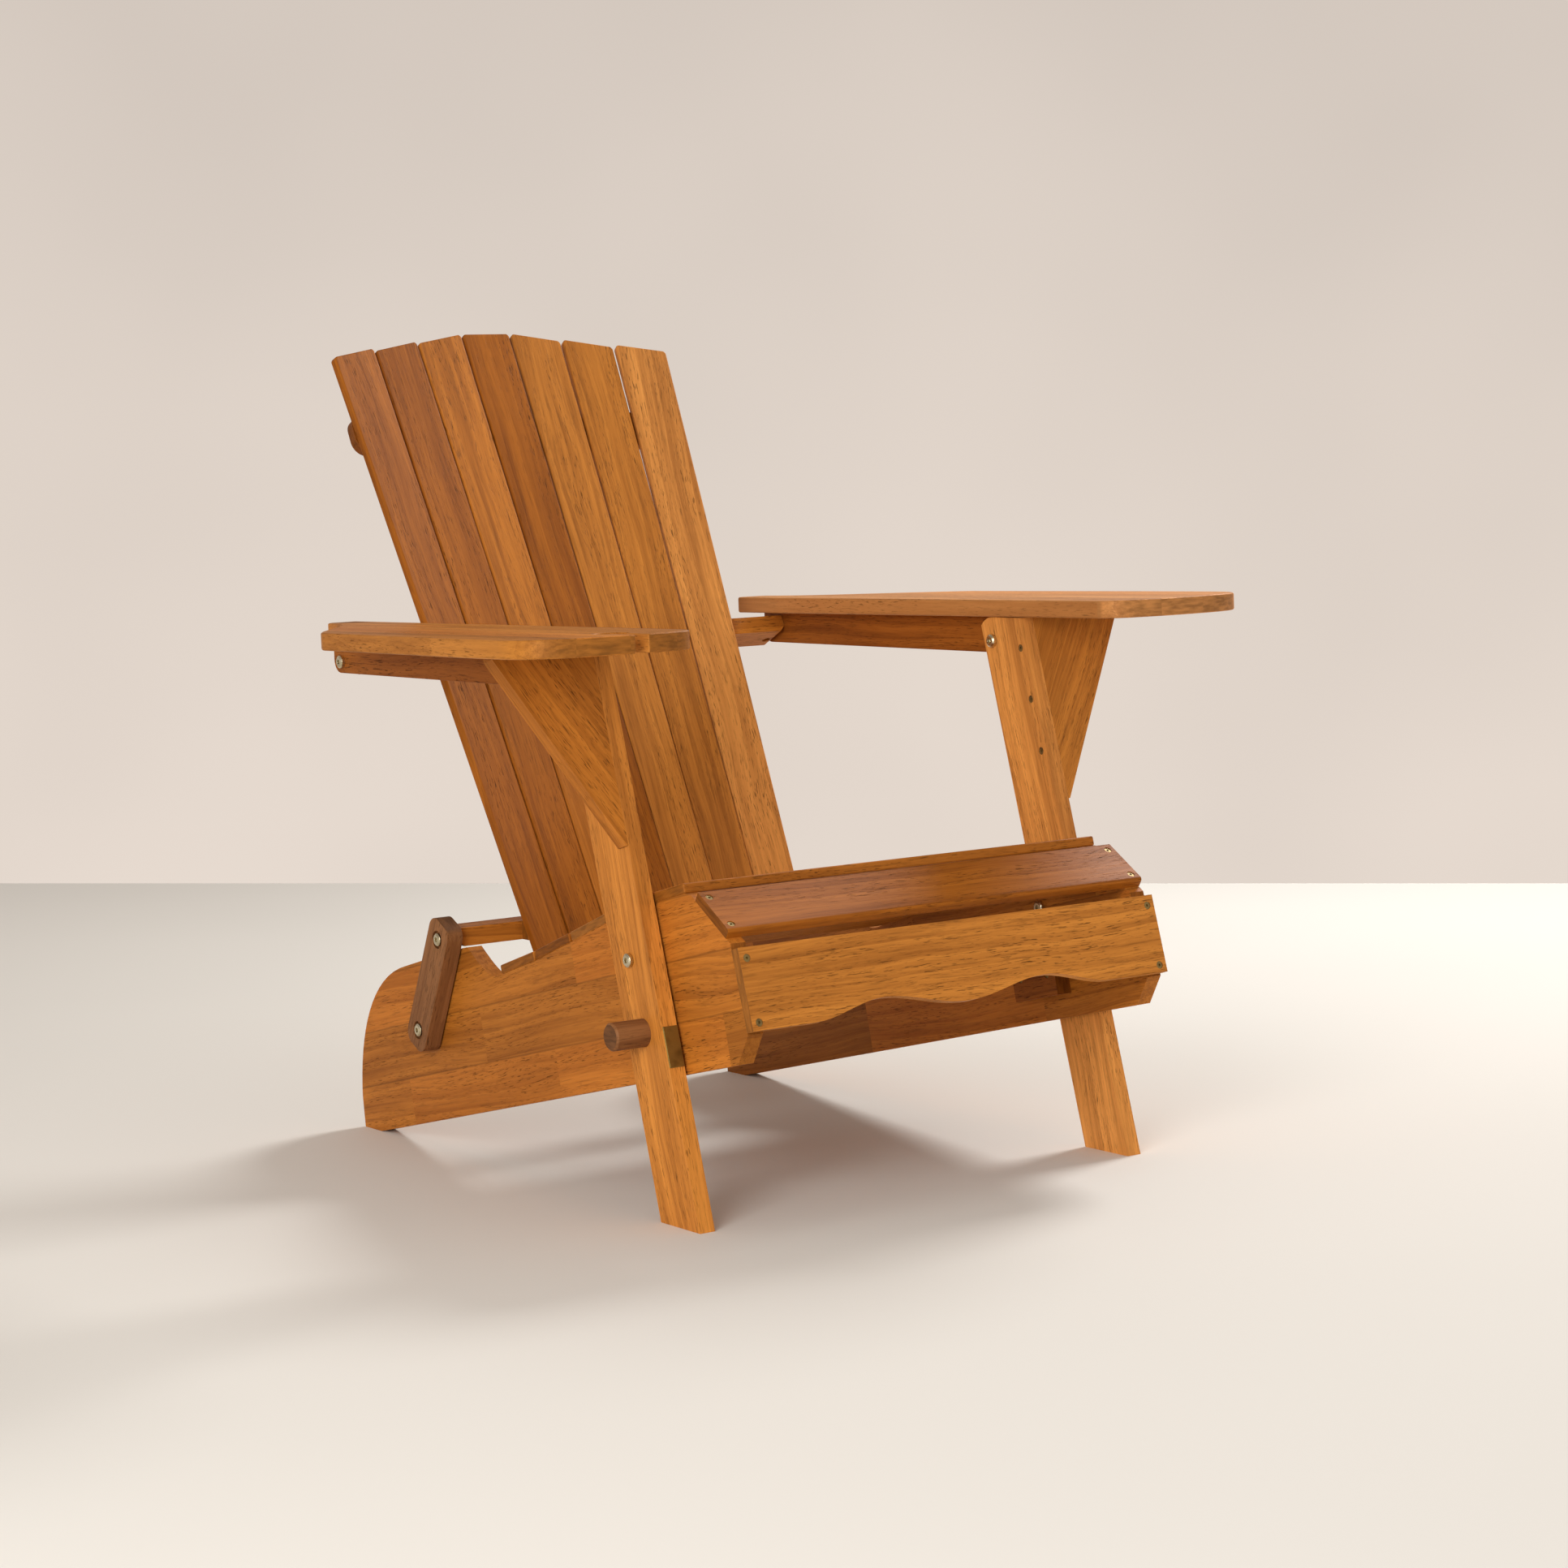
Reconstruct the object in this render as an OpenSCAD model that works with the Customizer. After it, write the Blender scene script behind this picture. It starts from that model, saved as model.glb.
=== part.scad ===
// Folding slatted garden chair with sloped seat, fanned back and flat arms.
// Millimetres. +Z is up, the chair faces -Y, and +X is the sitter's left.
// The origin is the centre of the footprint box at floor level.

/* [Seat frame] */
// Distance from the middle plane to the outer face of a side board
stringer_outer_x = 264; // [262:0.5:264]
// Thickness of a side board
stringer_thick = 18; // [16:0.5:20]
// Y of the front foot of the seat curve
seat_front_y = -365.6; // [-367:0.2:-365]
// Height of the seat curve at its front end
seat_front_z = 338.4; // [337:0.2:339]
// Y of the rear end of the seat curve
seat_rear_y = 20.2; // [20:0.1:21]
// Height of the seat curve at its rear end
seat_rear_z = 215.4; // [214:0.2:217]
// Length of the two handles that shape the seat curve
seat_handle = 130; // [120:1:140]
// Slope of the seat curve at the front
seat_front_slope = -0.18; // [-0.22:0.01:-0.14]
// Slope of the seat curve at the rear
seat_rear_slope = -0.27; // [-0.3:0.01:-0.25]
// Y where the straight bottom edge meets the floor
foot_front_y = 319; // [315:1:322]
// Y of the rear end of the foot on the floor
foot_rear_y = 358; // [355:0.5:360]
// Fall of the bottom edge per unit of length
stringer_fall = 0.2277; // [0.226:0.0005:0.229]

/* [Seat boards] */
// Y of the rear edge of the rearmost seat slat
slat_rear_y = 19.4; // [19:0.1:20]
// Pitch of the seat slats along Y
slat_pitch = 76.2; // [76:0.1:76.5]
// Open gap between seat slats
slat_gap = 3.8; // [3:0.1:5]
// Thickness of the seat slats
slat_thick = 10.5; // [9:0.5:12]
// Half length of the seat slats and front boards
slat_half = 264.5; // [263:0.5:265]
// Width of the front nosing slat
nose_width = 62.5; // [61:0.5:64]
// Height of the front apron along its face
apron_height = 83.5; // [82:0.5:85]
// Thickness of the front apron
apron_thick = 12; // [10:0.5:13]
// Height of the waves cut in the apron's lower edge
apron_wave = 15.5; // [10:0.5:18]

/* [Legs] */
// Inner face of a leg from the middle plane
leg_inner_x = 267.5; // [267:0.1:268]
// Thickness of a leg
leg_thick = 18; // [16:0.5:18.5]
// Y of the front edge of a leg at the floor
leg_front_y = -396.4; // [-398:0.2:-395]
// Lean of the leg edges, run per unit of height
leg_lean = 0.282; // [0.275:0.001:0.285]
// Width of a leg measured square to its edges
leg_width = 70; // [68:0.5:72]
// Height of the leg pivot
leg_pivot_z = 264.4; // [262:0.2:266]
// Y of the leg pivot
leg_pivot_y = -282.9; // [-285:0.1:-281]
// Reach of the bracket out from the leg
gusset_reach = 118; // [100:1:122]
// Length of the bracket down the leg
gusset_drop = 206; // [190:1:210]
// Thickness of the bracket
gusset_thick = 17.6; // [15:0.2:18]

/* [Pegs] */
// Diameter of a locking peg
peg_diameter = 29; // [26:0.5:30]
// Distance of the peg below the leg pivot
peg_below = 75; // [70:0.5:78]
// Outer end of a peg from the middle plane
peg_outer_x = 325; // [310:1:335]

/* [Arms] */
// Height of the underside of an arm board
arm_under_z = 581; // [580:0.2:583]
// Thickness of an arm board
arm_thick = 19; // [17:0.5:21]
// Inner edge of an arm board from the middle plane
arm_inner_x = 263; // [262:0.5:264]
// Outer edge of an arm board from the middle plane
arm_outer_x = 458; // [450:0.5:460]
// Y of the front edge of an arm board
arm_front_y = -415; // [-418:0.5:-412]
// Rise of an arm board towards the front, in degrees
arm_tilt = 0.6; // [0.4:0.05:0.7]
// Y of the rear end of an arm board
arm_rear_y = 325; // [320:0.5:328]
// Inner face of an arm rail from the middle plane
rail_inner_x = 287.5; // [287.5:0.1:288]
// Height of an arm rail
rail_height = 42; // [40:0.5:44]
// Diameter of the glass hole in the right arm
glass_hole = 36; // [30:1:38]
// Width of the slot that leads to the glass hole
glass_slot = 15; // [12:1:18]

/* [Back] */
// Recline of the back from upright, in degrees
back_recline = 26.2; // [25.8:0.1:26.6]
// Width of a back slat at the lower reference line
back_slat_low = 52.4; // [51:0.1:52.6]
// Width of a back slat at the upper reference line
back_slat_high = 63.3; // [62:0.1:63.5]
// Gap between back slats at the lower reference line
back_gap_low = 1.2; // [1:0.1:2.5]
// Gap between back slats at the upper reference line
back_gap_high = 3.2; // [3:0.1:4]
// Thickness of a back slat
back_slat_thick = 10.5; // [9:0.5:11]
// Depth of the hollow of the back at the lower reference line
hollow_low = 14; // [10:0.5:15]
// Depth of the hollow of the back at the upper reference line
hollow_high = 29.5; // [24:0.5:30]
// Half length of the upper batten
batten_half = 226; // [224:0.5:230]
// Half length of the middle crosspiece
cross_half = 286.9; // [285:0.1:287]

/* [Links and bolts] */
// Thickness of a link
link_thick = 20; // [17:0.5:20]
// Width of a link
link_width = 43; // [40:0.5:44]
// Shank diameter of the pivot bolts
bolt_diameter = 8; // [7:0.5:9]
// Head diameter of the pivot bolts
bolt_head = 14.5; // [13:0.5:16]

/* [Hidden] */
$fn = 64;
left = 1;
right = -1;
both_sides = [left, right];
tiny = 0.01;
over = 1;
half_turn = 180;
quarter_turn = 90;

// clearances: fixed pieces in their bores, running pivots, moving faces
fixed_gap = 0.05;
run_gap = 0.05;
face_gap = 0.4;

function mix(a, b, t) = a + (b - a) * t;
function curve_point(a, b, c, d, t) =
    a * pow(1 - t, 3) + 3 * b * t * pow(1 - t, 2)
    + 3 * c * t * t * (1 - t) + d * pow(t, 3);
function curve(a, b, c, d, n) =
    [for (i = [0 : n]) curve_point(a, b, c, d, i / n)];

// seat curve, as a cubic through its two ends
seat_a = [seat_front_y, seat_front_z];
seat_b = seat_a + seat_handle * [1, seat_front_slope];
seat_d = [seat_rear_y, seat_rear_z];
seat_c = seat_d - seat_handle * [1, seat_rear_slope];
function seat_at(y) = curve_point(
    seat_a, seat_b, seat_c, seat_d,
    (y - seat_front_y) / (seat_rear_y - seat_front_y));

seat_slats = 5;
slat_wide = slat_pitch - slat_gap;
function slat_back_y(i) = slat_rear_y - slat_pitch * (i - 1);
function slat_fore_y(i) = slat_back_y(i) - slat_wide;
seat_facets = [for (i = [seat_slats : -1 : 1])
    for (y = [slat_fore_y(i), slat_back_y(i)]) seat_at(y)];

// side board outline
stringer_inner_x = stringer_outer_x - stringer_thick;
chin_low = [-444.2, (foot_front_y + 444.2) * stringer_fall];
chin_high = [-462.8, 205.7];
brow_low = [-437.4, 293.8];
brow_high = [-369.7, 335.5];
notch_start = [22.5, 214.6];
notch_low = [45, 206];
notch_rise = [62, 217];
hump_start = [94, 238.2];
hump_front = [104, 237.6];
hump_rear = [160, 223];
tail_start = [240.5, 202.5];
tail_top = [330, 182.3];
tail_back = [362, 110];
tail_end = [362, 36];
stringer_outline = concat(
    [[foot_front_y, 0], chin_low, chin_high, brow_low, brow_high],
    seat_facets,
    curve(notch_start, notch_low, notch_rise, hump_start, 10),
    curve(hump_start, hump_front, hump_rear, tail_start, 12),
    curve(tail_start, tail_top, tail_back, tail_end, 16),
    [[foot_rear_y, 0]]);

// front board seats on the chamfers of the side boards
brow_run = brow_high - brow_low;
nose_angle = atan2(brow_run[1], brow_run[0]);
nose_start = 8.5;
face_run = brow_low - chin_high;
apron_angle = atan2(face_run[1], face_run[0]);
apron_start = 2;

// leg geometry: along is up the leg, across is square to it
leg_angle = atan(leg_lean);
leg_outer_x = leg_inner_x + leg_thick;
leg_top_z = arm_under_z - 0.5;
function on_leg(along, across) = [
    leg_front_y + along * sin(leg_angle) + across * cos(leg_angle),
    along * cos(leg_angle) - across * sin(leg_angle)];
leg_pivot = [leg_pivot_y, leg_pivot_z];
arm_pivot = [-183.3, 554.1];
peg_at = leg_pivot - peg_below * [sin(leg_angle), cos(leg_angle)];
peg_inner_x = stringer_outer_x + 0.3;
peg_bevel = 2;
socket_deep = 10;
leg_corner = leg_top_z - arm_pivot[1];
gusset_screw_along = [454, 512.6, 570.9];
gusset_screw_across = 9;
plate_along = [168, 210];
plate_thick = 1.2;
plate_inset = 0.2;

// arm parts
rail_thick = 18;
rail_under_z = arm_under_z - rail_height;
rail_outer_x = rail_inner_x + rail_thick;
rail_front_y = arm_pivot[0] - 27;
rail_rear_y = 302;
rail_round = 15;
back_pivot = [282.9, 551.8];
glass_x = 337;
glass_y = arm_front_y + 60;

// links
link_top = [123.6, 246.2];
link_low = [177.4, 138.3];
link_inner_x = stringer_outer_x + 2;
link_outer_x = link_inner_x + link_thick;
link_corner = 14;
link_flat = link_width / 2 - link_corner;
sink_wide = 20;
sink_deep = 4;

// back: local x across, local z up the slats, local y to the rear
back_base = [0, 99.3, 264];
back_turn = [-back_recline, 0, 0];
back_high = 706;
back_slats = 7;
slat_foot = -50;
function row_pos(k, wide, gap) = k * (wide + gap);
function row_half(wide, gap) = (back_slats * wide + (back_slats - 1) * gap) / 2;
squeeze_low = 0.985;
squeeze_high = 0.992;
function low_x(k) = squeeze_low * row_pos(k, back_slat_low, back_gap_low);
function high_x(k) = squeeze_high * row_pos(k, back_slat_high, back_gap_high);
low_half = squeeze_low * row_half(back_slat_low, back_gap_low);
high_half = squeeze_high * row_half(back_slat_high, back_gap_high);
function low_d(k) = hollow_low * (1 - pow(low_x(k) / low_half, 2));
function high_d(k) = hollow_high * (1 - pow(high_x(k) / high_half, 2));
slat_tilt = 3.6;
// rise of each slat's inner and outer top corner above the outer shoulder
crown_inner = [47, 46, 33.5, 19.5];
crown_outer = [47, 34.5, 21, 7];
batten_low = 593;
batten_high = 638;
batten_end_rear = 25;
batten_bow = 27;
batten_rear = 60;
batten_round = 16;
cross_low = 329;
cross_high = 349.6;
cross_front = 11.9;
cross_rear = 53.9;
cross_chamfer = 7;
bar_under_z = 237.3;
bar_top_z = 258.1;
bar_front_y = 110.4;
bar_rear_y = 146.4;
bar_half = 265.5;
bar_chamfer = 7;
bar_seat_y = 96;
bar_seat_half = 184;
nut_diameter = 10;
nut_long = 12;
nut_from_end = 14;
nut_recess = 6;

// screws and bolts
screw_head = 8.2;
screw_sink = 0.7;
screw_shank = 4;
screw_cone = 2;
screw_long = 28;
screw_bore_long = 31;
drive_wide = 3;
drive_deep = 1.5;
head_high = 5;
head_round = 1.5;
hex_wide = 5.8;
hex_deep = 3;
board_screw_x = 255.7;

// helpers -----------------------------------------------------------------

// board parallel to the YZ plane, from x0 to x1 on one side
module side_board(side, x0, x1) {
    low = min(side * x0, side * x1);
    translate([low, 0, 0])
        rotate([quarter_turn, 0, quarter_turn])
            linear_extrude(abs(x1 - x0))
                children();
}

// round bar along X on one side
module side_bar(side, at, x0, x1, diameter) {
    low = min(side * x0, side * x1);
    translate([low, at[0], at[1]])
        rotate([0, quarter_turn, 0])
            cylinder(d = diameter, h = abs(x1 - x0));
}

// round bar along X with different end diameters, first end nearer the middle
module side_cone(side, at, x0, x1, d0, d1) {
    turn = side > 0 ? quarter_turn : -quarter_turn;
    translate([side * x0, at[0], at[1]])
        rotate([0, turn, 0])
            cylinder(d1 = d0, d2 = d1, h = x1 - x0);
}

// hex socket along X
module side_hex(side, at, x0, x1) {
    low = min(side * x0, side * x1);
    translate([low, at[0], at[1]])
        rotate([0, quarter_turn, 0])
            cylinder(d = hex_wide, h = abs(x1 - x0), $fn = 6);
}

// countersunk screw pointing down its own -Z, head flush with z = 0
module screw(grow, long) {
    translate([0, 0, -screw_cone])
        cylinder(d1 = screw_shank + grow, d2 = screw_head + grow, h = screw_cone);
    translate([0, 0, -long])
        cylinder(d = screw_shank + grow, h = long - screw_cone + tiny);
}

// sunk screw with a hex drive
module screw_piece() {
    difference() {
        translate([0, 0, -screw_sink])
            screw(0, screw_long);
        translate([0, 0, -screw_sink - drive_deep])
            cylinder(d = drive_wide, h = drive_deep + over, $fn = 6);
    }
}

module screw_bore() {
    translate([0, 0, -screw_sink])
        screw(2 * fixed_gap, screw_bore_long);
    translate([0, 0, -screw_sink - tiny])
        cylinder(d = screw_head + 2 * fixed_gap, h = screw_sink + over);
}

// places for the nosing and apron screws
nose_screw_at = [18, 62];
apron_screw_at = [10, 74.5];
module nose_frame() {
    translate([0, brow_low[0], brow_low[1]])
        rotate([nose_angle, 0, 0])
            children();
}

module apron_frame() {
    translate([0, chin_high[0], chin_high[1]])
        rotate([apron_angle - quarter_turn, 0, 0])
            children();
}

module each_nose_screw() {
    for (side = both_sides)
        for (a = nose_screw_at)
            nose_frame()
                translate([side * board_screw_x, a, slat_thick])
                    children();
}

module each_apron_screw() {
    for (side = both_sides)
        for (a = apron_screw_at)
            apron_frame()
                translate([side * board_screw_x, -apron_thick, a])
                    rotate([quarter_turn, 0, 0])
                        children();
}

// block screws run outward from the inner face of each guide block
block_thick = 19;
block_long = 76;
block_high = 48;
block_at = [-291, 190];
block_angle = -atan(stringer_fall);
block_screw_step = 24;
module each_block_screw() {
    for (side = both_sides)
        for (step = [-block_screw_step, block_screw_step])
            translate([
                side * (stringer_inner_x - block_thick),
                block_at[0] + step * cos(block_angle),
                block_at[1] + step * sin(block_angle)])
                rotate([0, -side * quarter_turn, 0])
                    children();
}

// seat frame --------------------------------------------------------------

module stringer(side) {
    color([0.72, 0.42, 0.2])
        difference() {
            side_board(side, stringer_inner_x, stringer_outer_x)
                polygon(stringer_outline);
            for (at = [leg_pivot, link_low])
                side_bar(side, at, stringer_inner_x - over, stringer_outer_x + over,
                    bolt_diameter + 2 * fixed_gap);
            side_bar(side, peg_at, stringer_outer_x - socket_deep,
                stringer_outer_x + over, peg_diameter + 0.6);
            each_nose_screw()
                screw_bore();
            each_apron_screw()
                screw_bore();
            each_block_screw()
                screw_bore();
        }
}

module stringer_left() {
    stringer(left);
}

module stringer_right() {
    stringer(right);
}

module seat_slat(i) {
    fore = seat_at(slat_fore_y(i));
    back = seat_at(slat_back_y(i));
    run = back - fore;
    color([0.78, 0.47, 0.23])
        translate([-slat_half, fore[0], fore[1]])
            rotate([atan2(run[1], run[0]), 0, 0])
                translate([0, 0, 2 * tiny])
                    cube([2 * slat_half, norm(run), slat_thick]);
}

module seat_slat_1() {
    seat_slat(1);
}

module seat_slat_2() {
    seat_slat(2);
}

module seat_slat_3() {
    seat_slat(3);
}

module seat_slat_4() {
    seat_slat(4);
}

module seat_slat_5() {
    seat_slat(5);
}

module front_slat() {
    round_edge = 3.5;
    color([0.76, 0.45, 0.22])
        difference() {
            nose_frame()
                translate([-slat_half, nose_start, 0])
                    rotate([quarter_turn, 0, quarter_turn])
                        linear_extrude(2 * slat_half)
                            union() {
                                square([nose_width, slat_thick - round_edge]);
                                translate([round_edge, 0])
                                    square([nose_width - round_edge, slat_thick]);
                                translate([round_edge, slat_thick - round_edge])
                                    circle(round_edge);
                            }
            each_nose_screw()
                screw_bore();
        }
}

// wave of the apron's lower edge: two lobes with a dip in the middle
wave_crest = 103;
wave_end = 190;
function wave(x) = abs(x) > wave_end ? 0 :
    abs(x) > wave_crest
    ? apron_wave * (1 + cos(half_turn * (abs(x) - wave_crest) / (wave_end - wave_crest))) / 2
    : apron_wave * (1 - cos(half_turn * abs(x) / wave_crest)) / 2;
wave_step = 10;

module front_apron() {
    color([0.7, 0.4, 0.19])
        difference() {
            apron_frame()
                translate([0, 0, apron_start])
                    rotate([quarter_turn, 0, 0])
                        linear_extrude(apron_thick)
                            polygon(concat(
                                [for (x = [-wave_end : wave_step : wave_end]) [x, wave(x)]],
                                [
                                    [slat_half, 0],
                                    [slat_half, apron_height],
                                    [-slat_half, apron_height],
                                    [-slat_half, 0]]));
            each_apron_screw()
                screw_bore();
        }
}

module guide_block(side) {
    color([0.66, 0.38, 0.18])
        difference() {
            side_board(side, stringer_inner_x - block_thick, stringer_inner_x)
                translate(block_at)
                    rotate(block_angle)
                        square([block_long, block_high], center = true);
            each_block_screw()
                screw_bore();
        }
}

module guide_block_left() {
    guide_block(left);
}

module guide_block_right() {
    guide_block(right);
}

module board_screw_set() {
    color([0.75, 0.62, 0.3]) {
        each_nose_screw()
            screw_piece();
        each_apron_screw()
            screw_piece();
    }
}

module block_screw_set() {
    color([0.75, 0.62, 0.3])
        each_block_screw()
            screw_piece();
}

// bolt with its domed head at the larger x, shank towards the middle
module bolt_out(side, at, tip_x, head_x) {
    difference() {
        union() {
            side_bar(side, at, tip_x, head_x + tiny, bolt_diameter);
            side_bar(side, at, head_x, head_x + head_high - head_round, bolt_head);
            side_cone(side, at, head_x + head_high - head_round, head_x + head_high,
                bolt_head, bolt_head - 4);
        }
        side_hex(side, at, head_x + head_high - hex_deep, head_x + head_high + over);
    }
}

// bolt through a side board, with a round cap nut on the inner face
module through_bolt(side, at, head_x) {
    cap_x = stringer_inner_x - fixed_gap;
    difference() {
        union() {
            bolt_out(side, at, cap_x - tiny, head_x);
            side_bar(side, at, cap_x - head_high + head_round, cap_x, bolt_head);
            side_cone(side, at, cap_x - head_high, cap_x - head_high + head_round,
                bolt_head - 4, bolt_head);
        }
        side_hex(side, at, cap_x - head_high - over, cap_x - head_high + hex_deep);
    }
}

module leg_pivot_bolts() {
    color([0.74, 0.7, 0.55])
        for (side = both_sides)
            through_bolt(side, leg_pivot, leg_outer_x + face_gap);
}

module link_lower_bolts() {
    color([0.74, 0.7, 0.55])
        for (side = both_sides)
            through_bolt(side, link_low, link_outer_x - sink_deep + face_gap);
}

// legs --------------------------------------------------------------------

module leg_outline() {
    tall = leg_top_z / cos(leg_angle) + leg_width;
    intersection() {
        translate([leg_front_y, 0])
            rotate(-leg_angle)
                translate([0, -leg_width])
                    square([leg_width, tall + leg_width]);
        union() {
            translate([leg_front_y - leg_width, 0])
                square([arm_pivot[0] - leg_front_y + leg_width, leg_top_z]);
            translate([leg_front_y - leg_width, 0])
                square([5 * leg_width, arm_pivot[1]]);
            translate(arm_pivot)
                circle(leg_corner);
        }
    }
}

module each_gusset_screw(side) {
    for (along = gusset_screw_along)
        translate([
            side * leg_inner_x,
            on_leg(along, gusset_screw_across)[0],
            on_leg(along, gusset_screw_across)[1]])
            rotate([0, -side * quarter_turn, 0])
                children();
}

module leg(side) {
    color([0.76, 0.45, 0.21])
        difference() {
            side_board(side, leg_inner_x, leg_outer_x)
                leg_outline();
            side_bar(side, leg_pivot, leg_inner_x - over, leg_outer_x + over,
                bolt_diameter + 2 * run_gap);
            side_bar(side, arm_pivot, leg_inner_x - over, leg_outer_x + over,
                bolt_diameter + 2 * run_gap);
            side_bar(side, peg_at, leg_inner_x - over, leg_outer_x + over,
                peg_diameter + 2 * run_gap);
            each_gusset_screw(side)
                screw_bore();
        }
}

module leg_left() {
    leg(left);
}

module leg_right() {
    leg(right);
}

gusset_tip = 2;
gusset_lip = 4;
module gusset(side) {
    top_along = leg_top_z / cos(leg_angle);
    color([0.68, 0.38, 0.17])
        difference() {
            intersection() {
                translate([0, leg_front_y, 0])
                    rotate([-leg_angle, 0, 0])
                        rotate([quarter_turn, 0, 0])
                            translate([0, 0, -gusset_thick])
                                linear_extrude(gusset_thick)
                                    scale([side, 1])
                                        polygon([
                                            [leg_outer_x, top_along - gusset_drop],
                                            [leg_outer_x + gusset_tip,
                                                top_along - gusset_drop],
                                            [leg_outer_x + gusset_reach,
                                                top_along - gusset_lip],
                                            [leg_outer_x + gusset_reach,
                                                top_along + leg_width],
                                            [leg_outer_x, top_along + leg_width]]);
                translate([-500, -500, 0])
                    cube([1000, 1000, leg_top_z]);
            }
            each_gusset_screw(side)
                screw_bore();
        }
}

module gusset_left() {
    gusset(left);
}

module gusset_right() {
    gusset(right);
}

module gusset_screws(side) {
    color([0.75, 0.62, 0.3])
        each_gusset_screw(side)
            screw_piece();
}

module gusset_screws_left() {
    gusset_screws(left);
}

module gusset_screws_right() {
    gusset_screws(right);
}

module wear_plate(side) {
    low_x0 = min(side * (leg_inner_x + plate_inset), side * (leg_outer_x - plate_inset));
    color([0.6, 0.52, 0.28])
        translate([low_x0, leg_front_y, 0])
            rotate([-leg_angle, 0, 0])
                translate([0, -plate_thick, plate_along[0]])
                    cube([leg_thick - 2 * plate_inset, plate_thick,
                        plate_along[1] - plate_along[0]]);
}

module wear_plate_left() {
    wear_plate(left);
}

module wear_plate_right() {
    wear_plate(right);
}

module peg(side) {
    color([0.4, 0.22, 0.12])
        union() {
            side_bar(side, peg_at, peg_inner_x, peg_outer_x - peg_bevel + tiny,
                peg_diameter);
            side_cone(side, peg_at, peg_outer_x - peg_bevel, peg_outer_x,
                peg_diameter, peg_diameter - 2 * peg_bevel);
        }
}

module peg_left() {
    peg(left);
}

module peg_right() {
    peg(right);
}

// arms --------------------------------------------------------------------

arm_shoulder_y = -345;
arm_elbow = [arm_outer_x - 21, 67];
arm_taper = [333, 227];
arm_tail = [304, arm_rear_y - 8];
arm_board_outline = concat(
    curve([arm_inner_x, arm_front_y + 46], [arm_inner_x, arm_front_y + 24],
        [arm_inner_x + 10, arm_front_y + 13], [arm_inner_x + 34, arm_front_y + 8], 8),
    curve([arm_inner_x + 36, arm_front_y + 7.6], [glass_x - 10, arm_front_y],
        [glass_x + 20, arm_front_y], [glass_x + 56, arm_front_y + 4], 10),
    curve([glass_x + 58, arm_front_y + 4.3], [arm_outer_x - 18, arm_front_y + 12],
        [arm_outer_x, arm_front_y + 30], [arm_outer_x, arm_shoulder_y], 14),
    curve([arm_outer_x, arm_shoulder_y + 6], [arm_outer_x, arm_shoulder_y + 110],
        [arm_elbow[0] + 6, -60], arm_elbow, 12),
    curve(arm_elbow + [-0.5, 4], arm_elbow + [-6, 29],
        arm_taper + [39, -57], arm_taper, 12),
    curve(arm_taper + [-1, 2], arm_taper + [-16, 26],
        arm_tail + [6, -40], arm_tail, 8),
    [[arm_tail[0] - 8, arm_rear_y], [arm_inner_x + 3, arm_rear_y], [arm_inner_x, arm_rear_y - 3]]);

// the boards rise a little towards the front, turned about the front arm bolt
module tilt_arm() {
    translate([0, arm_pivot[0], arm_pivot[1]])
        rotate([-arm_tilt, 0, 0])
            translate([0, -arm_pivot[0], -arm_pivot[1]])
                children();
}

module arm_board_blank() {
    translate([0, 0, arm_under_z])
        linear_extrude(arm_thick)
            polygon(arm_board_outline);
}

module arm_board_left() {
    color([0.78, 0.48, 0.24])
        tilt_arm()
            arm_board_blank();
}

module arm_board_right() {
    color([0.78, 0.48, 0.24])
        mirror([1, 0, 0])
            tilt_arm()
                difference() {
                    arm_board_blank();
                    translate([glass_x, glass_y, arm_under_z - over])
                        cylinder(d = glass_hole, h = arm_thick + 2 * over);
                    translate([glass_x - glass_slot / 2, arm_front_y - 20, arm_under_z - over])
                        cube([glass_slot, glass_y - arm_front_y + 20, arm_thick + 2 * over]);
                }
}

module arm_rail(side) {
    color([0.68, 0.38, 0.17])
        difference() {
            side_board(side, rail_inner_x, rail_outer_x)
                union() {
                    translate([rail_front_y, rail_under_z + rail_round])
                        square([rail_rear_y - rail_front_y, rail_height]);
                    translate([rail_front_y + rail_round, rail_under_z])
                        square([rail_rear_y - rail_front_y - 2 * rail_round, rail_height]);
                    for (y = [rail_front_y + rail_round, rail_rear_y - rail_round])
                        translate([y, rail_under_z + rail_round])
                            circle(rail_round);
                }
            for (at = [arm_pivot, back_pivot])
                side_bar(side, at, rail_inner_x - over, rail_outer_x + over,
                    bolt_diameter + 2 * fixed_gap);
            tilt_arm()
                side_board(side, rail_inner_x - over, rail_outer_x + over)
                    translate([rail_front_y - rail_height, arm_under_z - 2 * tiny])
                        square([2 * arm_rear_y + rail_height, rail_height]);
        }
}

module arm_rail_left() {
    arm_rail(left);
}

module arm_rail_right() {
    arm_rail(right);
}

// front bolt has its head inside the leg, rear bolt has its head outside the rail
module arm_bolts(side) {
    head_x = leg_inner_x - face_gap;
    color([0.74, 0.7, 0.55]) {
        difference() {
            union() {
                side_bar(side, arm_pivot, head_x - tiny, rail_outer_x - 2, bolt_diameter);
                side_bar(side, arm_pivot, head_x - head_high + head_round, head_x,
                    bolt_head);
                side_cone(side, arm_pivot, head_x - head_high,
                    head_x - head_high + head_round, bolt_head - 4, bolt_head);
            }
            side_hex(side, arm_pivot, head_x - head_high - over,
                head_x - head_high + hex_deep);
        }
        bolt_out(side, back_pivot, rail_inner_x + 0.3, rail_outer_x + fixed_gap);
    }
}

module arm_bolts_left() {
    arm_bolts(left);
}

module arm_bolts_right() {
    arm_bolts(right);
}

// links -------------------------------------------------------------------

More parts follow.
